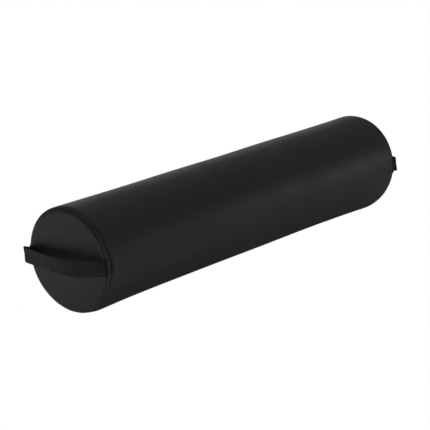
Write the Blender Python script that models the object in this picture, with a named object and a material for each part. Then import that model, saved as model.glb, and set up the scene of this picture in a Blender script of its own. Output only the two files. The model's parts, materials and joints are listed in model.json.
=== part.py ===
"""A full-round massage bolster: a foam cylinder in a zipped vinyl cover, with a webbing handle across each end.

Frame: +X runs along the bolster, -Y is its front and +Z is up. The origin is the middle of the flat it rests on.
Lengths are in metres and angles in degrees. "Depth" is a distance from an end panel's face towards the middle.
"""

import math

import bmesh
import bpy
from mathutils import Vector

# Driving dimensions of the bolster
LENGTH = 0.690  # end panel to end panel
RADIUS = 0.076
SAG = 0.0007  # how much the foam flattens underneath
SEGMENTS = 72  # sides of every round piece
GAP = 0.0003  # left between pieces that touch

# Cover
VINYL = 0.0012
FOLD_DEPTH = 0.0025  # the barrel panel's folded edge
HEM_DEPTH = 0.0135  # where the folded-under edge ends
FLANGE_DEPTH = 0.0170  # where the end panel's turned-in allowance ends
EDGE_ROUNDING = 0.0070  # of the end panel, over the foam's edge
STITCH_DEPTH = 0.0076
STITCH_GROOVE = 0.0009  # how far the topstitching pulls the vinyl in
GROOVE_WIDTH = 0.0020  # at the surface, and half that at the bottom
THREAD = 0.0004

# Handles
WEB_WIDTH = 0.023
WEB_THICKNESS = 0.0016
HANDLE_BOW = 0.0267  # how far the webbing stands off at its crown
HANDLE_SEWN_DEPTH = 0.0160  # how far the webbing's ends reach inside
FRONT_CUT = -0.0596  # the free webbing's two ends, in Y
BACK_CUT = 0.0657
TACK_START = 0.0092  # the bar tacks' near and far edges
TACK_END = 0.0120

# Filling
FOAM_RADIUS = 0.066
FOAM_EDGE = 0.008
WRAP_RADIUS = 0.0734
WRAP_SHOULDER = 0.0700  # the sleeve's radius inside the seam allowances
WRAP_DEPTH = 0.0065

# Zip, on the lower back of the barrel
ZIP_ANGLE = -30  # from straight back, about X
CHAIN_HALF = 0.285  # half the length of the coil rows
SLIT_HALF = 0.292
SLIT_WIDTH = 0.011
ZIP_STITCH_INSET = 0.0025  # from the slit's edge to the thread row
TAPE_REACH = 0.015  # from the zip's middle to a tape's outer edge
TAPE_HALF = 0.2925
TAPE_THICKNESS = 0.0006
COIL_WIDTH = 0.0025
COIL_THICKNESS = 0.0014
COIL_SPLIT = 0.0005  # from the zip's middle to each coil row
SLIDER_LENGTH = 0.011
SLIDER_WIDTH = 0.0092
SLIDER_PLAY = 0.0004  # between the slider and what it slides on
TOP_PLATE = 0.0011
BOTTOM_PLATE = 0.0008
BAIL_REACH = 0.0032  # from the hinge to the outside of the bail
BAIL_WIDTH = 0.0016
BAIL_THICKNESS = 0.0008
BAIL_OPENING = 0.0019
PULL_LENGTH = 0.024
PULL_WIDTH = 0.0064
PULL_THICKNESS = 0.001
PULL_PLAY = 0.0005  # round the bail, inside the pull's eye

# Worked out from the dimensions above
AXIS_HEIGHT = RADIUS - SAG
INSIDE = RADIUS - VINYL
HEM_INSIDE = RADIUS - 2 * VINYL
FLANGE_RADIUS = HEM_INSIDE - GAP
HANDLE_ROOT = math.sqrt(FLANGE_RADIUS**2 - (WEB_WIDTH / 2) ** 2) - WEB_THICKNESS / 2
TAPE_TOP = INSIDE - GAP
TAPE_BOTTOM = TAPE_TOP - TAPE_THICKNESS
COIL_BOTTOM = TAPE_TOP + GAP
COIL_TOP = COIL_BOTTOM + COIL_THICKNESS
TOP_PLATE_BOTTOM = COIL_TOP + GAP
TOP_PLATE_TOP = TOP_PLATE_BOTTOM + TOP_PLATE
BOTTOM_PLATE_TOP = TAPE_BOTTOM - SLIDER_PLAY
BOTTOM_PLATE_BOTTOM = BOTTOM_PLATE_TOP - BOTTOM_PLATE
PULL_HINGE = TOP_PLATE_TOP + BAIL_OPENING / 2
SLIDER_REST = -CHAIN_HALF + SLIDER_LENGTH / 2 + GAP


def material(name, colour, roughness, metallic=0.0):
    """A Principled material."""
    made = bpy.data.materials.new(name)
    made.use_nodes = True
    surface = made.node_tree.nodes["Principled BSDF"]
    surface.inputs["Base Color"].default_value = (*colour, 1)
    surface.inputs["Roughness"].default_value = roughness
    surface.inputs["Metallic"].default_value = metallic
    return made


def add_object(name, mesh, finish=None, parent=None):
    """Turns a bmesh into a smooth-shaded object."""
    bmesh.ops.recalc_face_normals(mesh, faces=mesh.faces)
    data = bpy.data.meshes.new(name)
    mesh.to_mesh(data)
    mesh.free()
    data.shade_smooth()
    data.set_sharp_from_angle(angle=math.radians(35))
    made = bpy.data.objects.new(name, data)
    bpy.context.scene.collection.objects.link(made)
    made.parent = parent
    if finish:
        data.materials.append(finish)
    return made


def add_copy(name, original):
    """Another object with the same mesh."""
    made = original.copy()
    made.name = name
    bpy.context.scene.collection.objects.link(made)
    return made


def as_cutter(made):
    """Keeps a Boolean's cutter out of the model."""
    made.hide_render = True
    made.display_type = "WIRE"
    return made


def cut_by(made, cutter):
    """Cuts one object away from another."""
    cut = made.modifiers.new("cut_by_" + cutter.name, "BOOLEAN")
    cut.operation = "DIFFERENCE"
    cut.solver = "EXACT"
    cut.object = cutter


def apply_modifiers(made):
    """Makes what the modifiers give the object's own mesh."""
    bpy.context.view_layer.update()
    evaluated = made.evaluated_get(bpy.context.evaluated_depsgraph_get())
    result = bpy.data.meshes.new_from_object(evaluated)
    made.modifiers.clear()
    made.data = result


def united(name, solids):
    """Joins overlapping solids into one."""
    base = solids[0]
    for other in solids[1:]:
        join = base.modifiers.new("join_" + other.name, "BOOLEAN")
        join.operation = "UNION"
        join.solver = "EXACT"
        join.object = other
    apply_modifiers(base)
    for other in solids[1:]:
        bpy.data.objects.remove(other)
    base.name = name
    return base


def arc(centre, radius, start, end, steps):
    """Points on an arc, both ends included."""
    turns = [math.radians(start + (end - start) * i / steps) for i in range(steps + 1)]
    return [(centre[0] + radius * math.cos(a), centre[1] + radius * math.sin(a)) for a in turns]


def mirrored(half):
    """The other half of an outline whose X changes sign, in reverse order."""
    return [(-x, radius) for x, radius in reversed(half)]


def settle(mesh):
    """Flattens the bottom of a round piece, each layer keeping its place above the one below."""
    for vertex in mesh.verts:
        distance = math.hypot(vertex.co.y, vertex.co.z)
        lowest = distance - SAG * (distance / RADIUS) ** 3
        vertex.co.z = max(vertex.co.z, -lowest)


def turned(name, outline, finish, parent, closed):
    """A round piece about X. The outline holds (x, radius) points; an open one starts and ends on the axis."""
    mesh = bmesh.new()
    points = [mesh.verts.new((x, 0, radius)) for x, radius in outline]
    edges = [mesh.edges.new(pair) for pair in zip(points, points[1:])]
    if closed:
        edges.append(mesh.edges.new((points[-1], points[0])))
    bmesh.ops.spin(
        mesh, geom=points + edges, cent=(0, 0, 0), axis=(1, 0, 0),
        angle=math.tau, steps=SEGMENTS, use_merge=True,
    )
    bmesh.ops.remove_doubles(mesh, verts=mesh.verts, dist=1e-6)
    settle(mesh)
    return add_object(name, mesh, finish, parent)


def prism(name, outline, start, end, place, finish=None, parent=None):
    """Extrudes a flat outline. place(u, v, w) turns the outline's u and v and the height w into a point."""
    mesh = bmesh.new()
    bottom = mesh.faces.new([mesh.verts.new(place(u, v, start)) for u, v in outline])
    grown = bmesh.ops.extrude_face_region(mesh, geom=[bottom])
    raised = [item for item in grown["geom"] if isinstance(item, bmesh.types.BMVert)]
    shift = Vector(place(0, 0, end)) - Vector(place(0, 0, start))
    bmesh.ops.translate(mesh, verts=raised, vec=shift)
    return add_object(name, mesh, finish, parent)


def outward(x, z, y):
    """Places an outline in X and Z, and extrudes it away from the bolster's axis."""
    return (x, y, z)


def box(name, low, high, finish=None, parent=None):
    """A block between two corners."""
    outline = [(low[0], low[1]), (high[0], low[1]), (high[0], high[1]), (low[0], high[1])]
    return prism(name, outline, low[2], high[2], lambda x, y, z: (x, y, z), finish, parent)


def arc_strip(name, radii, angles, ends, steps, finish, parent):
    """A strip bent round X, between two radii, two angles from +Y, and two ends along X."""
    outline = arc((0, 0), radii[1], angles[0], angles[1], steps)
    outline += arc((0, 0), radii[0], angles[1], angles[0], steps)
    return prism(name, outline, ends[0], ends[1], lambda y, z, x: (x, y, z), finish, parent)


def degrees_along(distance, radius):
    """The angle that an arc length takes up on a circle."""
    return math.degrees(distance / radius)


# The cover


def barrel_panel(finish, bolster, zip_frame):
    """The vinyl tube: its ends are folded under, and a slit takes the zip."""
    end = -LENGTH / 2
    groove = RADIUS - STITCH_GROOVE
    stitch = end + STITCH_DEPTH
    fold = arc((end + FOLD_DEPTH + VINYL, INSIDE), VINYL, 270, 90, 4)
    outside = fold + [
        (stitch - GROOVE_WIDTH / 2, RADIUS),
        (stitch - GROOVE_WIDTH / 4, groove),
        (stitch + GROOVE_WIDTH / 4, groove),
        (stitch + GROOVE_WIDTH / 2, RADIUS),
    ]
    inside = [
        (end + HEM_DEPTH + VINYL, INSIDE),
        (end + HEM_DEPTH, HEM_INSIDE),
    ]
    outline = outside + mirrored(outside) + mirrored(inside) + inside
    panel = turned("barrel_panel", outline, finish, bolster, closed=True)
    slit = box(
        "zip_slit",
        (-SLIT_HALF, HEM_INSIDE - VINYL, -SLIT_WIDTH / 2),
        (SLIT_HALF, RADIUS + VINYL, SLIT_WIDTH / 2),
        parent=zip_frame,
    )
    cut_by(panel, as_cutter(slit))


def end_panels(finish, left_end, right_end):
    """A round panel at each end, with its edge turned in and notched where the handle passes through the seam."""
    centre = (EDGE_ROUNDING, FLANGE_RADIUS - EDGE_ROUNDING)
    outline = [(0, 0)] + arc(centre, EDGE_ROUNDING, 180, 90, 5)
    outline += [(FLANGE_DEPTH, FLANGE_RADIUS), (FLANGE_DEPTH, FLANGE_RADIUS - VINYL)]
    outline += arc(centre, EDGE_ROUNDING - VINYL, 90, 180, 4) + [(VINYL, 0)]
    left = turned("end_panel_left", outline, finish, left_end, closed=False)
    inner = HANDLE_ROOT - WEB_THICKNESS / 2 - GAP
    for side in (-1, 1):
        near, far = sorted((side * inner, side * RADIUS * 1.1))
        half = WEB_WIDTH / 2 + GAP
        notch = box(
            "handle_notch_" + ("front" if side < 0 else "back"),
            (-VINYL, near, -half), (FLANGE_DEPTH + VINYL, far, half),
            parent=left_end,
        )
        cut_by(left, as_cutter(notch))
    apply_modifiers(left)
    right = add_copy("end_panel_right", left)
    right.parent = right_end


def topstitching(finish, left_end, right_end):
    """The thread row in its groove behind each end seam."""
    outer = RADIUS - THREAD / 2
    inner = outer - THREAD
    low, high = STITCH_DEPTH - THREAD / 2, STITCH_DEPTH + THREAD / 2
    outline = [(low, inner), (low, outer), (high, outer), (high, inner)]
    for name, end in (("topstitch_left", left_end), ("topstitch_right", right_end)):
        turned(name, outline, finish, end, closed=True)


def bar_tacks(finish, left_end, right_end):
    """The dense thread rows that hold the sewn ends of the webbing, one block behind each."""
    reach = degrees_along(WEB_WIDTH / 2, RADIUS)
    radii = (RADIUS + GAP, RADIUS + GAP + THREAD)
    places = (
        ("left_front", left_end, 180),
        ("left_back", left_end, 0),
        ("right_front", right_end, 0),
        ("right_back", right_end, 180),
    )
    for place, end, turn in places:
        arc_strip(
            "bar_tack_" + place, radii, (turn - reach, turn + reach), (TACK_START, TACK_END),
            8, finish, end,
        )


# The handles


def handle_path():
    """The webbing's middle line as (y, stand-off) points, from its sewn back end to its sewn front end.

    It leaves the back seam straight out, turns over, rises to its crown in front of the middle and slopes down to
    the front seam.
    """
    guides = [
        (HANDLE_ROOT, -HANDLE_SEWN_DEPTH),
        (HANDLE_ROOT, -0.004),
        (HANDLE_ROOT, 0.004),
        (0.0722, 0.0096),
        (0.0655, 0.0131),
        (0.045, 0.0168),
        (0.016, 0.0222),
        (-0.018, HANDLE_BOW),
        (-0.040, 0.0245),
        (-0.056, 0.0155),
        (-0.0665, 0.0075),
        (-HANDLE_ROOT, -0.001),
        (-HANDLE_ROOT, -0.005),
        (-HANDLE_ROOT, -HANDLE_SEWN_DEPTH),
    ]
    return smooth_line([Vector(guide) for guide in guides], 3)


def smooth_line(guides, steps):
    """A centripetal Catmull-Rom curve through the guide points, with this many points to each span."""
    padded = [2 * guides[0] - guides[1]] + guides + [2 * guides[-1] - guides[-2]]
    line = []
    for a, b, c, d in zip(padded, padded[1:], padded[2:], padded[3:]):
        knots = [0.0]
        for start, end in ((a, b), (b, c), (c, d)):
            knots.append(knots[-1] + math.sqrt((end - start).length))
        for i in range(steps):
            t = knots[1] + (knots[2] - knots[1]) * i / steps
            line.append(catmull_rom((a, b, c, d), knots, t))
    line.append(guides[-1])
    return line


def catmull_rom(points, knots, t):
    """The point at t on one span, by Barry and Goldman's pyramid."""
    level = list(points)
    for width in (1, 2):
        level = [
            level[i].lerp(level[i + 1], (t - knots[i]) / (knots[i + width] - knots[i]))
            for i in range(len(level) - 1)
        ]
    return level[0].lerp(level[1], (t - knots[1]) / (knots[2] - knots[1]))


def webbing(low, high):
    """The handle's strip of webbing, kept only where its Y lies between low and high."""
    path = handle_path()
    mesh = bmesh.new()
    rings = []
    for i, point in enumerate(path):
        before = path[max(i - 1, 0)]
        after = path[min(i + 1, len(path) - 1)]
        along = (after - before).normalized()
        across = Vector((-along.y, along.x)) * WEB_THICKNESS / 2
        ring = []
        for offset, height in ((1, -1), (1, 1), (-1, 1), (-1, -1)):
            y, stand_off = point + across * offset
            ring.append(mesh.verts.new((-stand_off, y, height * WEB_WIDTH / 2)))
        rings.append(ring)
    for one, two in zip(rings, rings[1:]):
        for i in range(4):
            mesh.faces.new((one[i], one[(i + 1) % 4], two[(i + 1) % 4], two[i]))
    mesh.faces.new(rings[0])
    mesh.faces.new(reversed(rings[-1]))
    for y, outward in ((low, -1), (high, 1)):
        everything = mesh.verts[:] + mesh.edges[:] + mesh.faces[:]
        bmesh.ops.bisect_plane(
            mesh, geom=everything, plane_co=(0, y, 0), plane_no=(0, outward, 0),
            clear_outer=True,
        )
        rim = [edge for edge in mesh.edges if edge.is_boundary]
        bmesh.ops.holes_fill(mesh, edges=rim, sides=0)
    return mesh


def handles(finish, left_end, right_end):
    """Each handle is one strip of webbing: a free span that swings, and two ends held in the seam."""
    spans = (
        ("handle", FRONT_CUT, BACK_CUT),
        ("handle_front_end", -RADIUS, FRONT_CUT - GAP),
        ("handle_back_end", BACK_CUT + GAP, RADIUS),
    )
    opposite = {
        "handle": "handle_right",
        "handle_front_end": "handle_right_back_end",
        "handle_back_end": "handle_right_front_end",
    }
    for name, low, high in spans:
        left = add_object(name.replace("handle", "handle_left"), webbing(low, high), finish, left_end)
        right = add_copy(opposite[name], left)
        right.parent = right_end


# The zip, built as if it faced +Y and turned into place by its frame


def zip_tapes(finish, zip_frame):
    """Two woven tapes inside the slit's edges."""
    inner = degrees_along(COIL_SPLIT * 2, TAPE_TOP)
    outer = degrees_along(TAPE_REACH, TAPE_TOP)
    for name, angles in (("upper", (inner, outer)), ("lower", (-outer, -inner))):
        arc_strip(
            "zip_tape_" + name, (TAPE_BOTTOM, TAPE_TOP), angles, (-TAPE_HALF, TAPE_HALF),
            4, finish, zip_frame,
        )


def zip_coils(finish, zip_frame):
    """The two rows of coil that mesh along the middle."""
    for name, side in (("upper", 1), ("lower", -1)):
        low, high = sorted((side * COIL_SPLIT, side * (COIL_SPLIT + COIL_WIDTH)))
        box(
            "zip_coil_" + name, (-CHAIN_HALF, COIL_BOTTOM, low), (CHAIN_HALF, COIL_TOP, high),
            finish, zip_frame,
        )


def zip_stops(finish, zip_frame):
    """A stop above each row at the closed end, and one across both at the other end."""
    length = 0.002
    start = CHAIN_HALF + GAP
    for name, side in (("upper", 1), ("lower", -1)):
        low, high = sorted((side * COIL_SPLIT, side * (COIL_SPLIT + COIL_WIDTH)))
        box(
            "zip_top_stop_" + name, (-start - length, COIL_BOTTOM, low), (-start, COIL_TOP, high),
            finish, zip_frame,
        )
    half = COIL_SPLIT + COIL_WIDTH
    box(
        "zip_bottom_stop", (start, COIL_BOTTOM, -half), (start + length * 1.5, COIL_TOP, half),
        finish, zip_frame,
    )


def zip_stitching(finish, zip_frame):
    """The thread row that holds each edge of the slit on its tape."""
    row = degrees_along(SLIT_WIDTH / 2 + ZIP_STITCH_INSET, RADIUS)
    half = degrees_along(THREAD * 0.6, RADIUS)
    low = RADIUS + GAP
    for name, angle in (("upper", row), ("lower", -row)):
        arc_strip(
            "zip_stitching_" + name, (low, low + THREAD), (angle - half, angle + half),
            (-TAPE_HALF, TAPE_HALF), 1, finish, zip_frame,
        )


def slider_plate(name, bottom, top, width):
    """A plate of the slider, narrower at the end that leaves the chain closed."""
    front, back = -SLIDER_LENGTH / 2, SLIDER_LENGTH / 2
    corner = 0.0012
    wide, narrow = width / 2, width / 2 - 0.0014
    side = [
        (front, wide - corner),
        (front + corner, wide),
        (back - 0.004, wide),
        (back - corner / 2, narrow),
        (back, narrow - corner / 2),
    ]
    outline = side + [(x, -z) for x, z in reversed(side)]
    return prism(name, outline, bottom, top, outward)


def zip_slider(finish, slider_origin):
    """Two plates on a thin web that runs between the coil rows, side rails, and a bail for the pull."""
    overlap = 0.0002  # so that joined blocks share some volume
    web_half = 0.0002
    web_reach = 0.003
    rail_start = -SLIDER_LENGTH / 2 + 0.0016
    rail_end = SLIDER_LENGTH / 2 - 0.0045
    rail_inner = COIL_SPLIT + COIL_WIDTH + SLIDER_PLAY
    rail_outer = SLIDER_WIDTH / 2
    bail_top = TOP_PLATE_TOP + BAIL_OPENING + BAIL_THICKNESS
    solids = [
        slider_plate("top_plate", TOP_PLATE_BOTTOM, TOP_PLATE_TOP, SLIDER_WIDTH),
        slider_plate("bottom_plate", BOTTOM_PLATE_BOTTOM, BOTTOM_PLATE_TOP, SLIDER_WIDTH * 0.9),
        box(
            "web", (-web_reach, BOTTOM_PLATE_TOP - overlap, -web_half),
            (web_reach, TOP_PLATE_BOTTOM + overlap, web_half),
        ),
        box(
            "bail_bar", (-BAIL_REACH, bail_top - BAIL_THICKNESS, -BAIL_WIDTH / 2),
            (BAIL_REACH, bail_top, BAIL_WIDTH / 2),
        ),
    ]
    for side in (-1, 1):
        low, high = sorted((side * rail_inner, side * rail_outer))
        solids.append(
            box(
                "rail", (rail_start, COIL_BOTTOM + overlap, low),
                (rail_end, TOP_PLATE_BOTTOM + overlap, high),
            )
        )
        near, far = sorted((side * (BAIL_REACH - BAIL_THICKNESS), side * BAIL_REACH))
        solids.append(
            box(
                "bail_foot", (near, TOP_PLATE_TOP - overlap, -BAIL_WIDTH / 2),
                (far, bail_top - overlap, BAIL_WIDTH / 2),
            )
        )
    slider = united("zip_slider", solids)
    slider.data.materials.append(finish)
    slider.parent = slider_origin


def zip_pull(finish, pull_origin):
    """A flat tab whose eye bar passes under the bail. Its origin is on the hinge."""
    half = PULL_WIDTH / 2
    eye_half = BAIL_WIDTH / 2 + PULL_PLAY
    eye_end = math.hypot(BAIL_REACH, BAIL_OPENING / 2 + BAIL_THICKNESS) + PULL_PLAY
    bar = PULL_THICKNESS / 2
    end = PULL_LENGTH - half
    outline = [(-bar, -half * 0.7), (end, -half)] + arc((end, 0), half, -60, 60, 4)
    outline += [(end, half), (-bar, half * 0.7)]
    tab = prism("zip_pull", outline, -bar, bar, outward, finish, pull_origin)
    eye = box(
        "pull_eye", (bar, -PULL_THICKNESS, -eye_half), (eye_end, PULL_THICKNESS, eye_half),
        parent=pull_origin,
    )
    hole = prism(
        "pull_hole", arc((end, 0), PULL_WIDTH / 5, 0, 315, 7), -PULL_THICKNESS, PULL_THICKNESS, outward,
        parent=pull_origin,
    )
    cut_by(tab, as_cutter(eye))
    cut_by(tab, as_cutter(hole))


# The filling


def foam_core(finish, bolster):
    """The foam cylinder, with eased edges."""
    end = -LENGTH / 2 + VINYL + GAP
    left = [(end, 0)] + arc((end + FOAM_EDGE, FOAM_RADIUS - FOAM_EDGE), FOAM_EDGE, 180, 90, 4)
    turned("foam_core", left + mirrored(left), finish, bolster, closed=False)


def fibre_wrap(finish, bolster, zip_frame):
    """The wadding sleeve, thinner inside the seam allowances and grooved where the slider's lower plate runs."""
    inner = FOAM_RADIUS + GAP
    end = -LENGTH / 2
    left = [
        (end + WRAP_DEPTH, inner),
        (end + WRAP_DEPTH, WRAP_SHOULDER),
        (end + FLANGE_DEPTH + VINYL, WRAP_SHOULDER),
        (end + FLANGE_DEPTH + VINYL + WRAP_RADIUS - WRAP_SHOULDER, WRAP_RADIUS),
    ]
    sleeve = turned("fibre_wrap", left + mirrored(left), finish, bolster, closed=True)
    groove = box(
        "slider_groove", (-SLIT_HALF, BOTTOM_PLATE_BOTTOM - GAP, -SLIDER_WIDTH / 2),
        (SLIT_HALF, RADIUS, SLIDER_WIDTH / 2), parent=zip_frame,
    )
    cut_by(sleeve, as_cutter(groove))


def add_empty(name, location, parent=None, turn=(0, 0, 0)):
    """A frame that pieces are parented to."""
    made = bpy.data.objects.new(name, None)
    made.location = location
    made.rotation_euler = [math.radians(angle) for angle in turn]
    made.parent = parent
    bpy.context.scene.collection.objects.link(made)
    return made


def build():
    """Builds the bolster."""
    for old in list(bpy.data.objects):
        bpy.data.objects.remove(old)
    vinyl = material("vinyl", (0.021, 0.021, 0.022), 0.42)
    web = material("webbing", (0.016, 0.016, 0.017), 0.8)
    thread = material("thread", (0.012, 0.012, 0.013), 0.6)
    foam = material("foam", (0.62, 0.60, 0.52), 0.95)
    wadding = material("wadding", (0.85, 0.85, 0.83), 0.95)
    tape = material("zip_tape", (0.014, 0.014, 0.015), 0.85)
    coil = material("zip_coil", (0.018, 0.018, 0.019), 0.4)
    metal = material("zip_metal", (0.05, 0.05, 0.052), 0.35, 0.9)

    bolster = add_empty("bolster_axis", (0, 0, AXIS_HEIGHT))
    left_end = add_empty("left_end", (-LENGTH / 2, 0, 0), bolster)
    right_end = add_empty("right_end", (LENGTH / 2, 0, 0), bolster, (0, 0, 180))
    zip_frame = add_empty("zip_frame", (0, 0, 0), bolster, (ZIP_ANGLE, 0, 0))
    slider_origin = add_empty("slider_origin", (SLIDER_REST, 0, 0), zip_frame)
    pull_origin = add_empty("pull_hinge", (0, PULL_HINGE, 0), slider_origin)

    barrel_panel(vinyl, bolster, zip_frame)
    end_panels(vinyl, left_end, right_end)
    topstitching(thread, left_end, right_end)
    bar_tacks(thread, left_end, right_end)
    handles(web, left_end, right_end)
    zip_tapes(tape, zip_frame)
    zip_coils(coil, zip_frame)
    zip_stops(metal, zip_frame)
    zip_stitching(thread, zip_frame)
    zip_slider(metal, slider_origin)
    zip_pull(metal, pull_origin)
    foam_core(foam, bolster)
    fibre_wrap(wadding, bolster, zip_frame)


build()
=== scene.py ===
"""The looks of a massage bolster: a zipped vinyl cover over wrapped foam, with a webbing handle at each end.

Every piece is in metres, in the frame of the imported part. Round pieces are described by a place x along the
bolster, an angle about its axis (0 is straight back, a quarter turn is straight up) and a radius. "Depth" is
a distance from an end panel's face towards the middle. Relief is how far a surface stands above its plain
radius. A side is -1 at the left end and 1 at the right one. The swell of the cover comes from a cloth
simulation, and the rest of its relief from formulas.
"""

import json
import math

import bmesh
import bpy
import numpy as np
from mathutils import Matrix, Vector


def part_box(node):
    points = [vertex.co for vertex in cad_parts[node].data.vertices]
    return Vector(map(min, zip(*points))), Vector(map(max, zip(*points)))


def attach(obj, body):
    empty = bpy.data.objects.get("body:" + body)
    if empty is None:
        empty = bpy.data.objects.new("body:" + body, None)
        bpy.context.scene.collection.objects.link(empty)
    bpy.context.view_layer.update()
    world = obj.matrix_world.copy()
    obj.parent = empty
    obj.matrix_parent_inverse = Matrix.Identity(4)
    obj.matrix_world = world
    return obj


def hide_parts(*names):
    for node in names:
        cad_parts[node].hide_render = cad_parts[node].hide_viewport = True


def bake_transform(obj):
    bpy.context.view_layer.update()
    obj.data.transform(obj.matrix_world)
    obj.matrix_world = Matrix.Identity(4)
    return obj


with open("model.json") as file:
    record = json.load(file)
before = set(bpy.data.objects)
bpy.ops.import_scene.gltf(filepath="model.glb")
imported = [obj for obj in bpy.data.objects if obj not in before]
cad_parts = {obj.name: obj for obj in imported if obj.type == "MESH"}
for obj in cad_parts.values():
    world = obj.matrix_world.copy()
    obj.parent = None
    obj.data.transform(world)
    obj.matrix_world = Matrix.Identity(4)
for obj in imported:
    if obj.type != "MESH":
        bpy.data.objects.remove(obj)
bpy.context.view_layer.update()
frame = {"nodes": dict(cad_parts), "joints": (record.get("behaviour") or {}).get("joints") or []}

# Read from the frame
JOINTS = {joint["name"]: joint for joint in frame["joints"]}
AXIS_HEIGHT = JOINTS["left_handle_swing"]["pos_m"][2]
END = JOINTS["right_handle_swing"]["pos_m"][0]
ZIP_AXIS = JOINTS["pull_flip"]["axis"]
ZIP_ANGLE = -math.atan2(ZIP_AXIS[1], ZIP_AXIS[2])
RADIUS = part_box("barrel_panel")[1].y
FOLD_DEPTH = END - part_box("barrel_panel")[1].x
FLANGE_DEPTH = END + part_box("end_panel_left")[1].x
STITCH_DEPTH = END + (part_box("topstitch_left")[0].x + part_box("topstitch_left")[1].x) / 2
TACK_DEPTH = END + (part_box("bar_tack_left_back")[0].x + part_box("bar_tack_left_back")[1].x) / 2
WEB_HALF = (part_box("handle_left")[1].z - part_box("handle_left")[0].z) / 2
HANDLE_CROWN = -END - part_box("handle_left")[0].x
HANDLE_SEWN_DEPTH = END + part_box("handle_left_back_end")[1].x
TAPE_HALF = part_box("zip_tape_upper")[1].x
CHAIN_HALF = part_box("zip_coil_upper")[1].x
FOAM_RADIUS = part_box("foam_core")[1].y
FOAM_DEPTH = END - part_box("foam_core")[1].x
WRAP_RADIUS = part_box("fibre_wrap")[1].z - AXIS_HEIGHT
WRAP_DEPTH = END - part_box("fibre_wrap")[1].x

# Thicknesses and small dimensions of the build
ENDS = (("left", -1), ("right", 1))
SAG = RADIUS - AXIS_HEIGHT  # how far the bolster has settled on the floor
FLOOR_EASING = SAG * 0.9  # of the crease beside the strip it rests on
VINYL = 0.0012
GAP = 0.0003
INSIDE = RADIUS - VINYL
HEM_INSIDE = RADIUS - 2 * VINYL
HEM_DEPTH = 0.0135
FLANGE_RADIUS = HEM_INSIDE - GAP
SEAM_DEPTH = 0.0016  # where an end panel starts to turn in
ROUNDING = {-1: 0.0085, 1: 0.0115}  # of the soft edge at each end

# The handles
WEB_THICKNESS = 0.0016
YARNS = 16  # across the webbing
YARN_RELIEF = 0.00022
FLOAT_LENGTH = 0.0032
HANDLE_RADIUS = FLANGE_RADIUS - WEB_THICKNESS / 2
HANDLE_RISE = 0.0008  # how far the free webbing stands above the sewn ends
HANDLE_BACK_RISE = {-1: 0.0014, 1: 0.0}  # and how much further at the back
HANDLE_TILT = {-1: math.radians(3), 1: math.radians(-13)}  # of the webbing's top edge, outwards
HANDLE_SHOULDER = {-1: [(0.0738, 0.0098), (0.0660, 0.0131)], 1: [(0.0727, 0.0061), (0.0655, 0.0108)]}

# The zip
SLIT_HALF_LENGTH = 0.292
SLIT_HALF_WIDTH = 0.0055
ZIP_STITCH_INSET = 0.0025
COIL_SPLIT = 0.0005
COIL_WIDTH = 0.0025
COIL_THICKNESS = 0.0014
COIL_PITCH = 0.0015
COIL_WIRE = 0.0003
TAPE_TOP = INSIDE - GAP
TAPE_THICKNESS = 0.0006
TAPE_REACH = 0.015
TAPE_RIB = 0.00008
TAPE_RIB_PITCH = 0.0007

# Sewing
STITCHES_ROUND = 120
THREAD_RADIUS = 0.00024
STITCH_PITCH = math.tau * RADIUS / STITCHES_ROUND
STITCH_GROOVE = 0.0016
STITCH_FILL = 0.8  # the share of its pitch that a stitch shows above the vinyl
TACK_PASSES = 44

# How the filling shapes the cover
CROWN = 0.0022  # of an end panel
PANEL_SHELL_RADIUS = RADIUS - 0.004  # of the flat part of an end panel in the simulation
PUCKER = 0.00016  # of the barrel behind its end seams
PUCKER_REACH = 0.020
SLACK = 0.004  # how much longer the vinyl is cut than the seams it is sewn into
PRESSURE = 4
CLOTH_COLUMNS = 144
CLOTH_FRAMES = 20
FLARE_MIDDLE = 0.0003
FLARE_ENDS = 0.0009
WEB_LUMP = 0.0012
LEAN = 0.0022  # the ends lean out at the top and in at the bottom
LEAN_START = 0.296
BULGE = 0.0033  # low down, some way behind each end seam
BULGE_REACH = 0.06
BULGE_ANGLE = math.radians(-112)
BULGE_SPREAD = 0.55
EDGE_GIVE = 0.0016  # how far the low edge of each end is let in
EDGE_GIVE_ANGLE = {-1: math.radians(-68), 1: math.radians(-135)}
EDGE_GIVE_SPREAD = 0.6

# Heights and widths of the sewn relief
GROOVE_WIDTH = 0.0011
EDGE_PUFF = 0.00028
EDGE_PUFF_WIDTH = 0.0016
PUCKER_FADE = 0.007
SEWN_WEB_LIFT = 0.0006
TACK_PRESS = 0.0014
TACK_WIDTH = 0.0019
ZIP_GROOVE = 0.0005
ZIP_GROOVE_WIDTH = 0.0006
ZIP_PUFF = 0.0003
ZIP_PUFF_WIDTH = 0.0011
CLOSED_SEAM = 0.0009
CLOSED_SEAM_WIDTH = 0.0008

# Unevenness of the surfaces
BARREL_WAVES = 0.00022
PANEL_WAVES = 0.00012
PANEL_PUCKERS = 0.00005
WEB_WAVES = 0.00025
WEB_CUP = 0.0005
FOAM_WAVES = 0.00012
WRAP_WAVES = 0.0001


# Meshes


def smooth_step(value, start, end):
    """0 before start, 1 after end, and an eased rise between them."""
    share = np.clip((np.asarray(value, float) - start) / (end - start), 0, 1)
    return share * share * (3 - 2 * share)


def bump_at(value, centre, width):
    """A bell curve of height 1."""
    return np.exp(-(((np.asarray(value, float) - centre) / width) ** 2))


def smooth_max(a, b, width):
    """The larger of two, with the corner where they cross eased."""
    near = np.maximum(width - np.abs(a - b), 0) / width
    return np.maximum(a, b) + near * near * width / 4


def around(angle, centre):
    """The angle from centre, between minus and plus half a turn."""
    return (np.asarray(angle, float) - centre + math.pi) % math.tau - math.pi


def of_side(pair, x):
    """The value for the side that x is on."""
    return np.where(np.asarray(x) < 0, pair[-1], pair[1])


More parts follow.
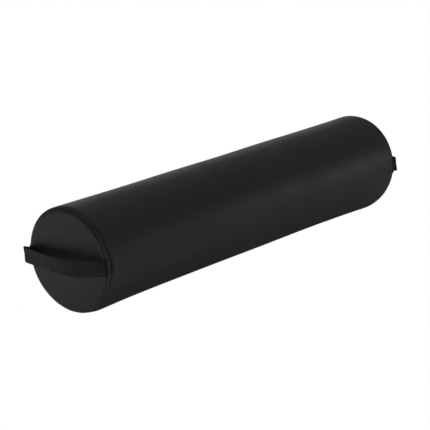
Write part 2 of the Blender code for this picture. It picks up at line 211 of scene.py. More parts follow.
def pressed_out(x, angle):
    """How far the weight on the floor pushes every layer out behind the end seams, and lets the edges in."""
    depth = END - np.abs(x)
    low = bump_at(around(angle, BULGE_ANGLE), 0, BULGE_SPREAD)
    bulge = BULGE * low * smooth_step(depth, 0.004, 0.028) * np.exp(-depth / BULGE_REACH)
    corner = around(angle, of_side(EDGE_GIVE_ANGLE, x))
    return bulge - EDGE_GIVE * bump_at(corner, 0, EDGE_GIVE_SPREAD) * smooth_step(depth, 0.018, 0.002)


def on_bolster(x, angle, radius, relief=0.0):
    """Points round the axis, settled on the floor. Relief only shows where a layer isn't pressed flat."""
    lowest = radius - SAG * (radius / RADIUS) ** 3
    reach = radius + relief + pressed_out(x, angle) * (radius / RADIUS) ** 2
    y = reach * np.cos(angle)
    z = smooth_max(reach * np.sin(angle), -lowest, FLOOR_EASING)
    x = x + np.sign(x) * LEAN * z / RADIUS * smooth_step(np.abs(x), LEAN_START, END)
    x, y, z = np.broadcast_arrays(x, y, z)
    return np.stack([x, y, AXIS_HEIGHT + z], axis=-1)


def from_axis(points):
    """The vectors that lead straight out from the bolster's axis to these points."""
    return (points - (0, 0, AXIS_HEIGHT)) * (0, 1, 1)


def grid_quads(index, wrap=False):
    """Quads between neighbours in a two-dimensional array of vertex numbers."""
    if wrap:
        index = np.concatenate([index, index[:, :1]], axis=1)
    corners = (index[:-1, :-1], index[:-1, 1:], index[1:, 1:], index[1:, :-1])
    return np.stack(corners, axis=-1).reshape(-1, 4).tolist()


def strip_faces(index):
    """Faces of a closed strip: quads between its rings of vertex numbers, and a cap at each end."""
    return grid_quads(index, wrap=True) + [index[0, ::-1].tolist(), index[-1].tolist()]


def ring_quads(rings):
    """Faces between rings of vertex numbers. A pole is a ring that repeats one vertex."""
    faces = [list(dict.fromkeys(face)) for face in grid_quads(np.array(rings), wrap=True)]
    return [face for face in faces if len(face) > 2]


def linked(name, data):
    """Adds an object to the scene."""
    made = bpy.data.objects.new(name, data)
    bpy.context.scene.collection.objects.link(made)
    return made


def add_plain(name, points, faces):
    """An object with its normals facing out."""
    data = bpy.data.meshes.new(name)
    data.from_pydata(np.asarray(points, float).reshape(-1, 3).tolist(), [], faces)
    shape = bmesh.new()
    shape.from_mesh(data)
    bmesh.ops.recalc_face_normals(shape, faces=shape.faces)
    shape.to_mesh(data)
    shape.free()
    return linked(name, data)


def add_piece(name, points, faces, material):
    """A smooth-shaded object in one material."""
    made = add_plain(name, points, faces)
    made.data.shade_smooth()
    made.data.materials.append(material)
    return made


def add_to_cover(node, part, points, faces, material):
    """A piece that stands for a CAD node and moves with the cover."""
    made = add_piece(node + "_" + part, points, faces, material)
    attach(made, "cover")
    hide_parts(node)


def tubes(lines, outward, radius, sides=6):
    """Points and faces of round threads along lines, an array of (thread, point, xyz)."""
    along = np.gradient(lines, axis=1)
    along /= np.linalg.norm(along, axis=-1, keepdims=True)
    across = np.cross(along, outward)
    across /= np.linalg.norm(across, axis=-1, keepdims=True)
    above = np.cross(across, along)
    turn = np.arange(sides) * math.tau / sides
    ring = across[:, :, None] * np.cos(turn)[:, None] + above[:, :, None] * np.sin(turn)[:, None]
    points = lines[:, :, None] + radius * ring
    index = np.arange(points[..., 0].size).reshape(points.shape[:3])
    faces = []
    for thread in index:
        faces += strip_faces(thread)
    return points.reshape(-1, 3), faces


def revolved(outline, angles, relief):
    """A round solid about the axis. The outline holds (x, radius) pairs; a radius of 0 makes a pole."""
    rings = []
    points = []
    for x, radius in outline:
        if radius == 0:
            rings.append([len(points)] * len(angles))
            points.append((x, 0, AXIS_HEIGHT))
        else:
            rings.append(list(range(len(points), len(points) + len(angles))))
            points += on_bolster(x, angles, radius, relief(x, angles, radius)).tolist()
    return points, ring_quads(rings)


def arc(centre, radius, start, end, steps):
    """Points on an arc, both ends included. Angles in degrees."""
    turns = np.radians(np.linspace(start, end, steps + 1))
    return [(centre[0] + radius * math.cos(a), centre[1] + radius * math.sin(a)) for a in turns]


# The cover blown up by its filling


def sewn_outline():
    """(x, radius) rings of the cover as it is sewn, before it is filled, from one pole to the other."""
    panel = [(-END, r) for r in np.linspace(0, PANEL_SHELL_RADIUS, 19)]
    seam = (-END + SEAM_DEPTH, RADIUS - VINYL)
    near = [(-END + depth, RADIUS) for depth in np.arange(0.0045, 0.068, 0.0026)]
    middle = [(x, RADIUS) for x in np.linspace(-END + 0.072, 0, 22)]
    half = panel + [seam] + near + middle
    return half + [(-x, r) for x, r in half[-2::-1]]


def blown_up():
    """Simulates the cover as cloth under pressure, held at its seams and its zip.

    Returns the rings of the sewn cover, the angles round them and how each of their points moved.
    """
    outline = sewn_outline()
    angles = ZIP_ANGLE + np.arange(CLOTH_COLUMNS) * math.tau / CLOTH_COLUMNS
    held_columns = np.abs(zip_distance(angles)) < SLIT_HALF_WIDTH + ZIP_STITCH_INSET
    rings = []
    points = []
    held = []
    for x, radius in outline:
        columns = 1 if radius == 0 else CLOTH_COLUMNS
        ring = np.arange(len(points), len(points) + columns)
        rings.append(ring if columns > 1 else np.repeat(ring, CLOTH_COLUMNS))
        points += [(x, radius * math.cos(angle), radius * math.sin(angle)) for angle in angles[:columns]]
        if radius == RADIUS - VINYL:
            held += ring.tolist()
        elif radius == RADIUS and abs(x) < SLIT_HALF_LENGTH:
            held += ring[held_columns].tolist()
    sewn = add_plain("sewn_cover", points, ring_quads(rings))
    sewn.vertex_groups.new(name="held").add(held, 1.0, "REPLACE")
    cloth = sewn.modifiers.new("filled", "CLOTH").settings
    cloth.use_pressure = True
    cloth.uniform_pressure_force = PRESSURE
    cloth.effector_weights.gravity = 0
    cloth.vertex_group_mass = "held"
    cloth.shrink_min = -SLACK
    scene = bpy.context.scene
    for number in range(1, CLOTH_FRAMES + 1):
        scene.frame_set(number)
    filled_mesh = sewn.evaluated_get(bpy.context.evaluated_depsgraph_get()).data
    after = np.zeros(3 * len(points), np.float32)
    filled_mesh.vertices.foreach_get("co", after)
    moved = (after.reshape(-1, 3) - np.array(points))[np.array(rings)]
    data = sewn.data
    bpy.data.objects.remove(sewn)
    bpy.data.meshes.remove(data)
    scene.frame_set(1)
    return np.array(outline), angles, moved


def blurred(table):
    """A table of rings by columns with each value eased towards its neighbours round the ring."""
    return (np.roll(table, 1, axis=1) + 2 * table + np.roll(table, -1, axis=1)) / 4


def looked_up(rows, table, row, angle):
    """Reads a table of rings by columns at any ring positions and angles."""
    row, angle = np.broadcast_arrays(np.asarray(row, float), np.asarray(angle, float))
    column = (angle - ZIP_ANGLE) % math.tau / math.tau * CLOTH_COLUMNS
    first = np.floor(column).astype(int) % CLOTH_COLUMNS
    second = (first + 1) % CLOTH_COLUMNS
    across = column - np.floor(column)
    place = np.clip(np.interp(row, rows, np.arange(len(rows))), 0, len(rows) - 1.000001)
    lower = place.astype(int)
    along = place - lower
    one = table[lower, first] * (1 - across) + table[lower, second] * across
    two = table[lower + 1, first] * (1 - across) + table[lower + 1, second] * across
    return one * (1 - along) + two * along


def simulated_swell():
    """How far the simulated cover stands out: ring positions and a table of rings by columns for each panel.

    An end panel's ring positions are shares of its radius, and the barrel's are places along it.
    """
    outline, angles, moved = blown_up()
    swell = {}
    for side in (-1, 1):
        panel = (np.sign(outline[:, 0]) == side) & (np.abs(outline[:, 0]) == END)
        order = np.argsort(outline[panel, 1])
        out = blurred(moved[panel][order][..., 0] * side)
        shares = outline[panel, 1][order] / PANEL_SHELL_RADIUS
        swell[side] = (shares, np.maximum(out, 0) * CROWN / out.max())
    barrel = outline[:, 1] == RADIUS
    out = moved[barrel][..., 1] * np.cos(angles) + moved[barrel][..., 2] * np.sin(angles)
    out = blurred(blurred(out - out.mean(axis=1, keepdims=True)))
    depth = END - np.abs(outline[barrel, :1])
    fade = 0.3 + np.exp(-depth / PUCKER_REACH)
    swell["barrel"] = (outline[barrel, 0], PUCKER * fade * np.tanh(out / (2 * out.std())))
    return swell


# The relief of the barrel panel


def ripples(angle, x, seed, count, waves, lengths):
    """Slow waves that close round the barrel: a sum of this many, of height about 1."""
    chance = np.random.default_rng(seed)
    total = 0.0
    for _ in range(count):
        round_waves = chance.integers(waves[0], waves[1] + 1)
        along = math.tau / chance.uniform(*lengths)
        phase = round_waves * angle + along * x * chance.choice((-1, 1)) + chance.uniform(0, math.tau)
        total = total + np.sin(phase)
    return total / math.sqrt(count)


def from_handle(angle):
    """The distance round the barrel from the middle of the nearer sewn end of webbing."""
    return np.minimum(np.abs(around(angle, 0)), np.abs(around(angle, math.pi))) * RADIUS


def zip_distance(angle):
    """The distance round the barrel from the middle of the zip."""
    return around(angle, ZIP_ANGLE) * RADIUS


def filled(x):
    """How far the filling pushes every layer of the cover out: a slight flare, and rounded edges."""
    rounding = of_side(ROUNDING, x)
    inside = np.clip(rounding - (END - np.abs(x)), 0, rounding)
    flare = FLARE_MIDDLE + FLARE_ENDS * (np.asarray(x) / END) ** 4
    return flare - rounding + np.sqrt(rounding**2 - inside**2)


def web_lump(x, angle):
    """How far the layers over a sewn end of webbing are lifted."""
    depth = END - np.abs(x)
    over = smooth_step(from_handle(angle), WEB_HALF + 0.0025, WEB_HALF)
    return WEB_LUMP * over * smooth_step(depth, 0.010, FOLD_DEPTH)


def web_radius(depth, side):
    """The radius of the middle of the webbing where it passes between the layers."""
    x = side * (END - np.maximum(depth, FOLD_DEPTH))
    return HANDLE_RADIUS + filled(x) + web_lump(x, 0.0)


def end_relief(x, angle):
    """What sewing does near the end seams: a puffed edge, the topstitched groove and puckers behind it.

    The sewn webbing lifts the vinyl too, and its bar tack presses it down again.
    """
    depth = END - np.abs(x)
    side = np.sign(x)
    stitch_wave = np.cos(STITCHES_ROUND * angle)
    groove = bump_at(depth, STITCH_DEPTH, GROOVE_WIDTH) * (0.85 + 0.3 * stitch_wave)
    puff = EDGE_PUFF * bump_at(depth, (FOLD_DEPTH + STITCH_DEPTH) / 2, EDGE_PUFF_WIDTH)
    behind = smooth_step(depth, STITCH_DEPTH, STITCH_DEPTH + 0.002)
    behind = behind * np.exp(-(depth - STITCH_DEPTH) / PUCKER_FADE)
    pucker = PUCKER / 2 * behind * ripples(angle, side * 0.1, 5, 6, (22, 48), (0.3, 0.6))
    under = smooth_step(from_handle(angle), WEB_HALF + 0.002, WEB_HALF - 0.001)
    under = under * smooth_step(depth, HANDLE_SEWN_DEPTH + 0.003, HANDLE_SEWN_DEPTH - 0.001)
    tack = bump_at(depth, TACK_DEPTH - 0.0008, TACK_WIDTH) + 0.4 * bump_at(depth, STITCH_DEPTH, 0.0012)
    return puff + pucker - STITCH_GROOVE * groove + under * (SEWN_WEB_LIFT - TACK_PRESS * tack)


def zip_relief(x, angle):
    """The slit's rolled edges, the groove of its stitching and, past its ends, the closed seam."""
    apart = np.abs(zip_distance(angle))
    inset = np.maximum(apart - SLIT_HALF_WIDTH, np.abs(x) - SLIT_HALF_LENGTH)
    roll = np.clip(1 - inset / VINYL, 0, 1)
    rolled = -0.6 * VINYL * (1 - np.sqrt(1 - roll**2 * 0.96))
    row = SLIT_HALF_WIDTH + ZIP_STITCH_INSET
    within = smooth_step(np.abs(x), TAPE_HALF + 0.001, TAPE_HALF - 0.002)
    groove = -ZIP_GROOVE * bump_at(apart, row, ZIP_GROOVE_WIDTH) * within
    puff = ZIP_PUFF * bump_at(apart, (SLIT_HALF_WIDTH + row) / 2, ZIP_PUFF_WIDTH) * within
    past = smooth_step(np.abs(x), SLIT_HALF_LENGTH, SLIT_HALF_LENGTH + 0.004)
    return rolled + groove + puff - CLOSED_SEAM * bump_at(apart, 0, CLOSED_SEAM_WIDTH) * past


def barrel_relief(x, angle):
    """How far the barrel's outer face stands above its radius."""
    middle = smooth_step(END - np.abs(x), 0.004, 0.05)
    slow = BARREL_WAVES * middle * ripples(angle, x, 11, 7, (1, 6), (0.12, 0.7))
    swell = looked_up(*SWELL["barrel"], x, angle) if SWELL else 0.0
    return slow + swell + filled(x) + web_lump(x, angle) + end_relief(x, angle) + zip_relief(x, angle)


# The cover


def barrel_columns():
    """The angles of the barrel's lengthwise lines, and which of them run all the way along."""
    zip_zone = SLIT_HALF_WIDTH + 0.014
    columns_round = STITCHES_ROUND * 4
    fine = np.arange(columns_round) * math.tau / columns_round
    steps = [(a, number % 3 == 0) for number, a in enumerate(fine) if abs(zip_distance(a)) > zip_zone]
    insets = [0, 0.0002, 0.0006, 0.0012, 0.0018, 0.0022, 0.0025]
    insets += [0.0028, 0.0032, 0.0042, 0.006, 0.0085, 0.0112]
    offsets = [SLIT_HALF_WIDTH + inset for inset in insets] + [0.0036, 0.0018, 0.0008]
    offsets += [-offset for offset in offsets] + [0]
    steps += [((ZIP_ANGLE + offset / RADIUS) % math.tau, True) for offset in offsets]
    steps.sort()
    return np.array([angle for angle, _ in steps]), np.array([whole for _, whole in steps])


def barrel_rings():
    """(x, radius, is outside, is fine) for each ring of the barrel panel, once round its outline."""
    fold_centre = (FOLD_DEPTH + VINYL, INSIDE)
    fine_end = arc(fold_centre, VINYL, 180, 90, 4)
    for start, end, step in (
        (0.0042, 0.0062, 0.0005),
        (0.0064, 0.0090, 0.0003),
        (0.0094, 0.0132, 0.0005),
        (0.0142, 0.0240, 0.0014),
    ):
        fine_end += [(depth, RADIUS) for depth in np.arange(start, end, step).tolist()]
    fine_end = [(depth - END, radius) for depth, radius in fine_end]
    insets = (0.0175, 0.013, 0.009, 0.006, 0.0035, 0.0012, 0.0005)
    past_slit = [SLIT_HALF_LENGTH + inset for inset in insets]
    along = np.linspace(-SLIT_HALF_LENGTH, SLIT_HALF_LENGTH, 131).tolist()
    middle = [-x for x in past_slit] + along + past_slit[::-1]
    outside = [(x, r, True, True) for x, r in fine_end]
    outside += [(x, RADIUS, True, False) for x in middle]
    outside += [(-x, r, True, True) for x, r in fine_end[::-1]]
    hem = arc(fold_centre, VINYL, 225, 270, 2)
    hem += [(0.008, HEM_INSIDE), (HEM_DEPTH, HEM_INSIDE), (HEM_DEPTH + VINYL, INSIDE)]
    near = [(END - depth, radius, False, False) for depth, radius in hem]
    inside = [(x, INSIDE, False, False) for x in middle[::-1]]
    return outside + near + inside + [(-x, r, False, False) for x, r, _, _ in near[::-1]]


def ring_faces(one, two):
    """Faces between two rings, each a dict of column number to vertex. Extra columns fan out."""
    few, many = sorted((one, two), key=len)
    columns = sorted(few)
    faces = []
    for here, there in zip(columns, columns[1:] + columns[:1]):
        if here < there:
            between = sorted(column for column in many if here <= column <= there)
        else:
            between = sorted(column for column in many if column >= here)
            between += sorted(column for column in many if column <= there)
        faces.append([few[here], few[there]] + [many[column] for column in reversed(between)])
    return faces


def barrel_panel(material):
    """The vinyl tube: its ends are folded under, and a slit takes the zip."""
    angles, whole = barrel_columns()
    every = np.arange(len(angles))
    outline = barrel_rings()
    points = []
    rings = []
    for x, radius, outside, fine in outline:
        columns = every if fine else every[whole]
        relief = barrel_relief(x, angles[columns]) if outside else filled(x) + web_lump(x, angles[columns])
        rings.append(dict(zip(columns.tolist(), range(len(points), len(points) + len(columns)))))
        points += on_bolster(x, angles[columns], radius, relief).tolist()
    near_slit = np.abs(zip_distance(angles)) < SLIT_HALF_WIDTH + 1e-6
    slit = {}
    faces = []
    for number, ring in enumerate(rings):
        following = rings[(number + 1) % len(rings)]
        start = outline[number][0]
        end = outline[(number + 1) % len(rings)][0]
        if max(abs(start), abs(end)) > SLIT_HALF_LENGTH + 1e-6:
            faces += ring_faces(ring, following)
            continue
        columns = sorted(ring)
        for here, there in zip(columns, columns[1:] + columns[:1]):
            corners = [ring[here], ring[there], following[there], following[here]]
            if near_slit[here] and near_slit[there]:
                places = [(start, here), (start, there), (end, there), (end, here)]
                for corner, (x, column) in zip(corners, places):
                    slit.setdefault((round(x, 5), column), {})[outline[number][2]] = corner
            else:
                faces.append(corners)
    faces += slit_walls(slit)
    add_to_cover("barrel_panel", "cover", points, faces, material)


def slit_walls(slit):
    """The cut edge of the slit. slit holds the outer and the inner vertex of each point in it."""
    places = sorted({x for x, _ in slit})
    columns = sorted({column for _, column in slit})
    rim = [(places[0], column) for column in columns]
    rim += [(x, columns[-1]) for x in places[1:]]
    rim += [(places[-1], column) for column in columns[-2::-1]]
    rim += [(x, columns[0]) for x in places[-2:0:-1]]
    return [
        [slit[one][True], slit[two][True], slit[two][False], slit[one][False]]
        for one, two in zip(rim, rim[1:] + rim[:1])
    ]


def panel_relief(radius, angle, side):
    """How far an end panel stands out: its crown, and puckers near its seam."""
    share = radius / FLANGE_RADIUS
    if SWELL:
        crown = looked_up(*SWELL[side], share, angle)
    else:
        crown = CROWN * (1 - share**2) * (1 + 0.25 * share**2)
    slow = PANEL_WAVES * ripples(angle, side * 0.2 + radius, 21, 5, (1, 5), (0.06, 0.2))
    fine = PANEL_PUCKERS * ripples(angle, side * 0.3, 23, 6, (24, 46), (0.3, 0.6))
    return crown + slow * smooth_step(radius, 0, 0.02) + fine * smooth_step(radius, 0.060, 0.070)


def panel_outline(side, layer):
    """(depth, radius) points of an end panel from its middle to the end of its turned-in allowance."""
    rounding = ROUNDING[side]
    edge = RADIUS + filled(0.0) + FLARE_ENDS - rounding
    turn = math.degrees(math.acos(1 - SEAM_DEPTH / rounding))
    curve = arc((rounding, edge), rounding - layer, 180, 180 - turn, 6)
    flat = [(layer, r) for r in np.linspace(0.0, edge, 18)[:-1]]
    flange = [
        (depth, RADIUS + float(filled(side * (END - depth))) - 2 * VINYL - GAP - layer)
        for depth in (0.0029, 0.0036, 0.0048, 0.0065, 0.0085, 0.0120, FLANGE_DEPTH)
    ]
    last = curve[-1]
    turned = [(0.0021, last[1] - 0.0002), (0.0025, (last[1] + flange[0][1]) / 2)]
    return flat + curve + turned + flange


def end_panel(side_name, side, material):
    """A crowned round panel whose edge turns in and gives way under the webbing."""
    angles = np.arange(240) * math.tau / 240
    outer = panel_outline(side, 0.0)
    inner = panel_outline(side, VINYL)[::-1]
    under = smooth_step(from_handle(angles), WEB_HALF + 0.003, WEB_HALF + 0.0004)
    rings = []
    points = []
    for number, (depth, radius) in enumerate(outer + inner):
        layer = 0 if number < len(outer) else VINYL
        if radius == 0:
            stand = float(panel_relief(0.0, 0.0, side))
            rings.append([len(points)] * len(angles))
            points.append((side * (END - depth + stand), 0, AXIS_HEIGHT))
            continue
        limit = web_radius(depth, side) - WEB_THICKNESS / 2 - GAP - layer
        pressed = radius - np.maximum(radius - limit, 0) * under
        stand = panel_relief(radius, angles, side) * smooth_step(depth - layer, SEAM_DEPTH, 0)
        rings.append(list(range(len(points), len(points) + len(angles))))
        points += on_bolster(side * (END - depth + stand), angles, pressed).tolist()
    add_to_cover("end_panel_" + side_name, "cover", points, ring_quads(rings), material)


# Sewing


def stitch_row(start, end, count, place):
    """Points and faces of separate stitches. place(t, lift) gives points at t, raised by lift."""
    share = np.linspace(-1, 1, 9)
    middles = start + (end - start) * (np.arange(count) + 0.5) / count
    along = middles[:, None] + share * STITCH_FILL / 2 * (end - start) / count
    lift = THREAD_RADIUS * (1.1 - 2.6 * np.abs(share) ** 6)
    lines = place(along, np.broadcast_to(lift, along.shape))
    return tubes(lines, from_axis(lines), THREAD_RADIUS)


def topstitching(side_name, side, material):
    """The thread row in its groove behind an end seam."""
    x = side * (END - STITCH_DEPTH)

    def place(angle, lift):
        return on_bolster(x, angle, RADIUS, barrel_relief(x, angle) + 0.3 * STITCH_GROOVE + lift)

    points, faces = stitch_row(0, math.tau, STITCHES_ROUND, place)
    add_to_cover("topstitch_" + side_name, "thread", points, faces, material)


def zip_stitching(name, direction, material):
    """The stitch row along one edge of the slit."""
    angle = ZIP_ANGLE + direction * (SLIT_HALF_WIDTH + ZIP_STITCH_INSET) / RADIUS

    def place(x, lift):
        return on_bolster(x, angle, RADIUS, barrel_relief(x, angle) + 0.0001 + lift)

    count = round(2 * TAPE_HALF / STITCH_PITCH)
    points, faces = stitch_row(-TAPE_HALF, TAPE_HALF, count, place)
    add_to_cover("zip_stitching_" + name, "thread", points, faces, material)


def bar_tack(node, side, middle, material):
    """A dense zigzag of thread across the sewn end of the webbing."""
    steps = 6
    t = np.arange(TACK_PASSES * steps + 1) / steps
    zigzag = np.abs((t % 2) - 1)
    eased = zigzag + 0.06 * np.sin(math.tau * zigzag)
    depth = TACK_DEPTH - 0.0010 + 0.0016 * (2 * eased - 1)
    angle = middle + (WEB_HALF - THREAD_RADIUS) * (2 * t / TACK_PASSES - 1) / RADIUS
    lift = THREAD_RADIUS * (1.5 - 1.6 * np.abs(2 * zigzag - 1) ** 4)
    x = side * (END - depth)
    lines = on_bolster(x, angle, RADIUS, barrel_relief(x, angle) + lift)[None]
    points, faces = tubes(lines, from_axis(lines), 1.2 * THREAD_RADIUS)
    add_to_cover(node, "thread", points, faces, material)


# The handles


def handle_path(side):
    """Steps along the webbing, and its middle line there as (y, stand-off) points from back to front."""
    mouth = web_radius(0.0, side)
    sewn = [(web_radius(depth, side), -depth) for depth in np.linspace(HANDLE_SEWN_DEPTH, FOLD_DEPTH, 8)]
    free = [
        (mouth - GAP, 0.0028),
        *HANDLE_SHOULDER[side],
        (0.045, 0.0168),
        (0.016, 0.0222),
        (-0.018, HANDLE_CROWN - WEB_THICKNESS / 2),
        (-0.040, 0.0245),
        (-0.056, 0.0155),
        (-0.0665, 0.0075),
        (-mouth, -0.001),
    ]
    guides = np.array(sewn + free + [(-y, stand) for y, stand in sewn[::-1]])
    before = 2 * guides[:1] - guides[1:2]
    after = 2 * guides[-1:] - guides[-2:-1]
    padded = np.concatenate([before, guides, after])
    spans = range(len(guides) - 1)
    line = [spline_point(padded[i : i + 4], t) for i in spans for t in np.arange(24) / 24]
    line = np.array(line + [guides[-1]])
    length = np.concatenate([[0], np.cumsum(np.linalg.norm(np.diff(line, axis=0), axis=1))])
    rows = np.linspace(0, length[-1], round(length[-1] / 0.0005) + 1)
    return rows, np.stack([np.interp(rows, length, line[:, axis]) for axis in (0, 1)], axis=1)


def spline_point(guides, t):
    """A centripetal Catmull-Rom span's point, by Barry and Goldman's pyramid. t runs from 0 to 1."""
    knots = np.concatenate([[0], np.cumsum(np.sqrt(np.linalg.norm(np.diff(guides, axis=0), axis=1)))])
    at = knots[1] + (knots[2] - knots[1]) * t
    level = list(guides)
    for width in (1, 2):
        level = [
            level[i] + (level[i + 1] - level[i]) * (at - knots[i]) / (knots[i + width] - knots[i])
            for i in range(len(level) - 1)
        ]
    return level[0] + (level[1] - level[0]) * (at - knots[1]) / (knots[2] - knots[1])


def weave(across, along):
    """The height of the webbing's yarns, from 0 to 1: a herringbone of long floats."""
    place = across / (2 * WEB_HALF / YARNS) + YARNS / 2
    column = np.floor(place)
    rib = np.abs(np.cos(math.pi * (place - column - 0.5)))
    folded = np.abs((column % 8) - 3.5)
    over = 0.5 + 0.5 * np.cos(math.tau * along / FLOAT_LENGTH + folded * math.pi / 2)
    return rib**0.7 * (0.35 + 0.65 * over)


def handle(side_name, side, material):
    """One strip of woven webbing, whose sewn ends lie between the cover's layers."""
    rows, path = handle_path(side)
    along = np.gradient(path, axis=0)
    along /= np.linalg.norm(along, axis=1, keepdims=True)
    normal = np.stack([-along[:, 1], along[:, 0]], axis=1)
    across = np.linspace(-WEB_HALF, WEB_HALF, 65)
    rounded = np.sqrt(np.clip(1 - np.abs(across / WEB_HALF) ** 10, 0, 1))
    sewn = smooth_step(path[:, 1:], 0.008, 0.0)
    hung = smooth_step(path[:, 1:], 0.002, 0.010)
    sagitta = HANDLE_RADIUS - np.sqrt(HANDLE_RADIUS**2 - across**2)
    ripple = WEB_WAVES * np.sin(rows / 0.019) * smooth_step(path[:, 1], 0.004, 0.014)
    height = weave(across[None, :], rows[:, None]) * YARN_RELIEF * rounded
    rise = HANDLE_RISE + HANDLE_BACK_RISE[side] * smooth_step(path[:, :1], 0.0, 0.06)
    layers = []
    for face in (1, -1):
        span = across[::face]
        lift = face * (WEB_THICKNESS / 2 - YARN_RELIEF) * rounded[None, :] + face * height
        cup = WEB_CUP * (span / WEB_HALF) ** 2
        out = lift[:, ::face] + ripple[:, None] - cup * (1 - sewn)
        turned_in = sagitta[::face][None, :] * sewn * np.sign(path[:, :1])
        stand = path[:, 1:] + normal[:, 1:] * out + math.tan(HANDLE_TILT[side]) * span * hung
        y = path[:, :1] + normal[:, :1] * out - turned_in
        layers.append(np.stack([stand, y, span + hung * rise], axis=-1)[:, :-1])
    ring = np.concatenate(layers, axis=1)
    points = ring * (side, -side, 1) + (side * END, 0, AXIS_HEIGHT)
    faces = strip_faces(np.arange(points[..., 0].size).reshape(points.shape[:2]))
    name = "handle_" + side_name
    made = add_piece(name + "_webbing", points, faces, material)
    add_weave_map(made, rows, ring.shape[1])
    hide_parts(name, name + "_front_end", name + "_back_end")
    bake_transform(made)


def add_weave_map(made, rows, columns):
    """Texture coordinates in metres, so that the webbing's pattern stays on it as it swings."""
    middle = columns / 2
    along = np.repeat(rows, columns)
    across = np.tile(np.abs(np.arange(columns) - middle) * 2 * WEB_HALF / middle, len(rows))
    corners = np.zeros(len(made.data.loops), np.int32)
    made.data.loops.foreach_get("vertex_index", corners)
    flat = np.stack([across[corners], along[corners]], axis=1).astype(np.float32)
    made.data.uv_layers.new(name="weave").data.foreach_set("uv", flat.ravel())


# The zip


def zip_coil(name, direction, material):
    """One row of the coil: a helix whose loops hook past the middle, between those of the other row."""
    steps = 10
    loops = round(2 * CHAIN_HALF / COIL_PITCH)
    t = np.arange(loops * steps + 1) / steps
    x = -CHAIN_HALF + COIL_WIRE + (2 * CHAIN_HALF - 2 * COIL_WIRE) * t / loops
    shifted = COIL_PITCH / 2 if direction > 0 else 0
    x = x + shifted * smooth_step(t, 0, 1) * smooth_step(t, loops, loops - 1)
    half = (COIL_WIDTH + COIL_SPLIT) / 2 + 0.0002
    middle = COIL_SPLIT + COIL_WIDTH - half
    across = middle - COIL_WIRE + (half - COIL_WIRE) * np.cos(math.tau * t)
    core_radius = TAPE_TOP + GAP + COIL_THICKNESS / 2
    radius = core_radius + (COIL_THICKNESS / 2 - COIL_WIRE) * np.sin(math.tau * t)
    line = on_bolster(x, ZIP_ANGLE + direction * across / radius, radius)[None]
    core = on_bolster(x, ZIP_ANGLE + direction * middle / radius, core_radius)[None]
    points, faces = tubes(line, line - core + 1e-6, COIL_WIRE, sides=5)
    add_to_cover("zip_coil_" + name, "loops", points, faces, material)


def zip_tape(name, direction, material):
    """A woven tape with fine lengthwise ribs."""
    across = np.linspace(2 * COIL_SPLIT, TAPE_REACH, 61)
    x = np.linspace(-TAPE_HALF, TAPE_HALF, 118)
    rib = TAPE_RIB * (np.abs(np.cos(math.pi * across / TAPE_RIB_PITCH)) - 1)
    angle = ZIP_ANGLE + direction * across / TAPE_TOP
    top = on_bolster(x[:, None], angle[None, :], TAPE_TOP, rib[None, :])
    bottom = on_bolster(x[:, None], angle[None, ::-1], TAPE_TOP - TAPE_THICKNESS)
    points = np.concatenate([top, bottom], axis=1)
    faces = strip_faces(np.arange(points[..., 0].size).reshape(points.shape[:2]))
    add_to_cover("zip_tape_" + name, "weave", points, faces, material)


def bevelled(node, width, material):
    """Joins a CAD node's triangles into whole faces, eases its edges and gives it a finish."""
    made = frame["nodes"][node]
    made.modifiers.new("joined_faces", "WELD").merge_threshold = 0.000002
    flat = made.modifiers.new("whole_faces", "DECIMATE")
    flat.decimate_type = "DISSOLVE"
    flat.angle_limit = math.radians(1)
    bevel = made.modifiers.new("eased_edges", "BEVEL")
    bevel.width = width
    bevel.segments = 3
    bevel.limit_method = "ANGLE"
    bevel.angle_limit = math.radians(40)
    made.modifiers.new("merged_corners", "WELD").merge_threshold = 0.000004
    made.modifiers.new("shading", "WEIGHTED_NORMAL").keep_sharp = False
    made.data.materials.clear()
    made.data.materials.append(material)


# The filling


def foam_core(material):
    """The foam cylinder."""
    edge = 0.008
    end = END - FOAM_DEPTH
    left = [(-end, r) for r in np.linspace(0, FOAM_RADIUS - edge, 8)[:-1]]
    left += arc((-end + edge, FOAM_RADIUS - edge), edge, 180, 90, 6)
    along = [(x, FOAM_RADIUS) for x in np.linspace(-end + 0.02, end - 0.02, 40)]
    outline = left + along + [(-x, r) for x, r in left[::-1]]
    angles = np.arange(120) * math.tau / 120

    def uneven(x, angle, radius):
        waves = ripples(angle, x, 31, 6, (2, 12), (0.03, 0.2))
        return FOAM_WAVES * (waves - 2) * min(radius / FOAM_RADIUS, 1)

    points, faces = revolved(outline, angles, uneven)
    add_to_cover("foam_core", "block", points, faces, material)


def fibre_wrap(material):
    """The wadding sleeve, thinner at its ends and hollowed behind the zip."""
    inner = FOAM_RADIUS + GAP
    shoulder = 0.0700
    end = END - WRAP_DEPTH
    left = [(-end, inner), (-end, shoulder), (-END + 0.0182, shoulder), (-END + 0.0216, WRAP_RADIUS)]
    along = [(x, WRAP_RADIUS) for x in np.linspace(-END + 0.03, END - 0.03, 90)]
    outline = left + along + [(-x, r) for x, r in left[::-1]]
    outline += [(x, inner) for x in np.linspace(end, -end, 12)[1:]]
    angles = np.arange(180) * math.tau / 180

    def tufted(x, angle, radius):
        if radius < WRAP_RADIUS:
            return 0.0
        groove = smooth_step(np.abs(zip_distance(angle)), 0.0065, 0.0050)
        waves = ripples(angle, x, 41, 8, (5, 40), (0.02, 0.1))
        return WRAP_WAVES * (waves - 2) - 0.0012 * groove

    points, faces = revolved(outline, angles, tufted)
    add_to_cover("fibre_wrap", "sleeve", points, faces, material)


# Materials


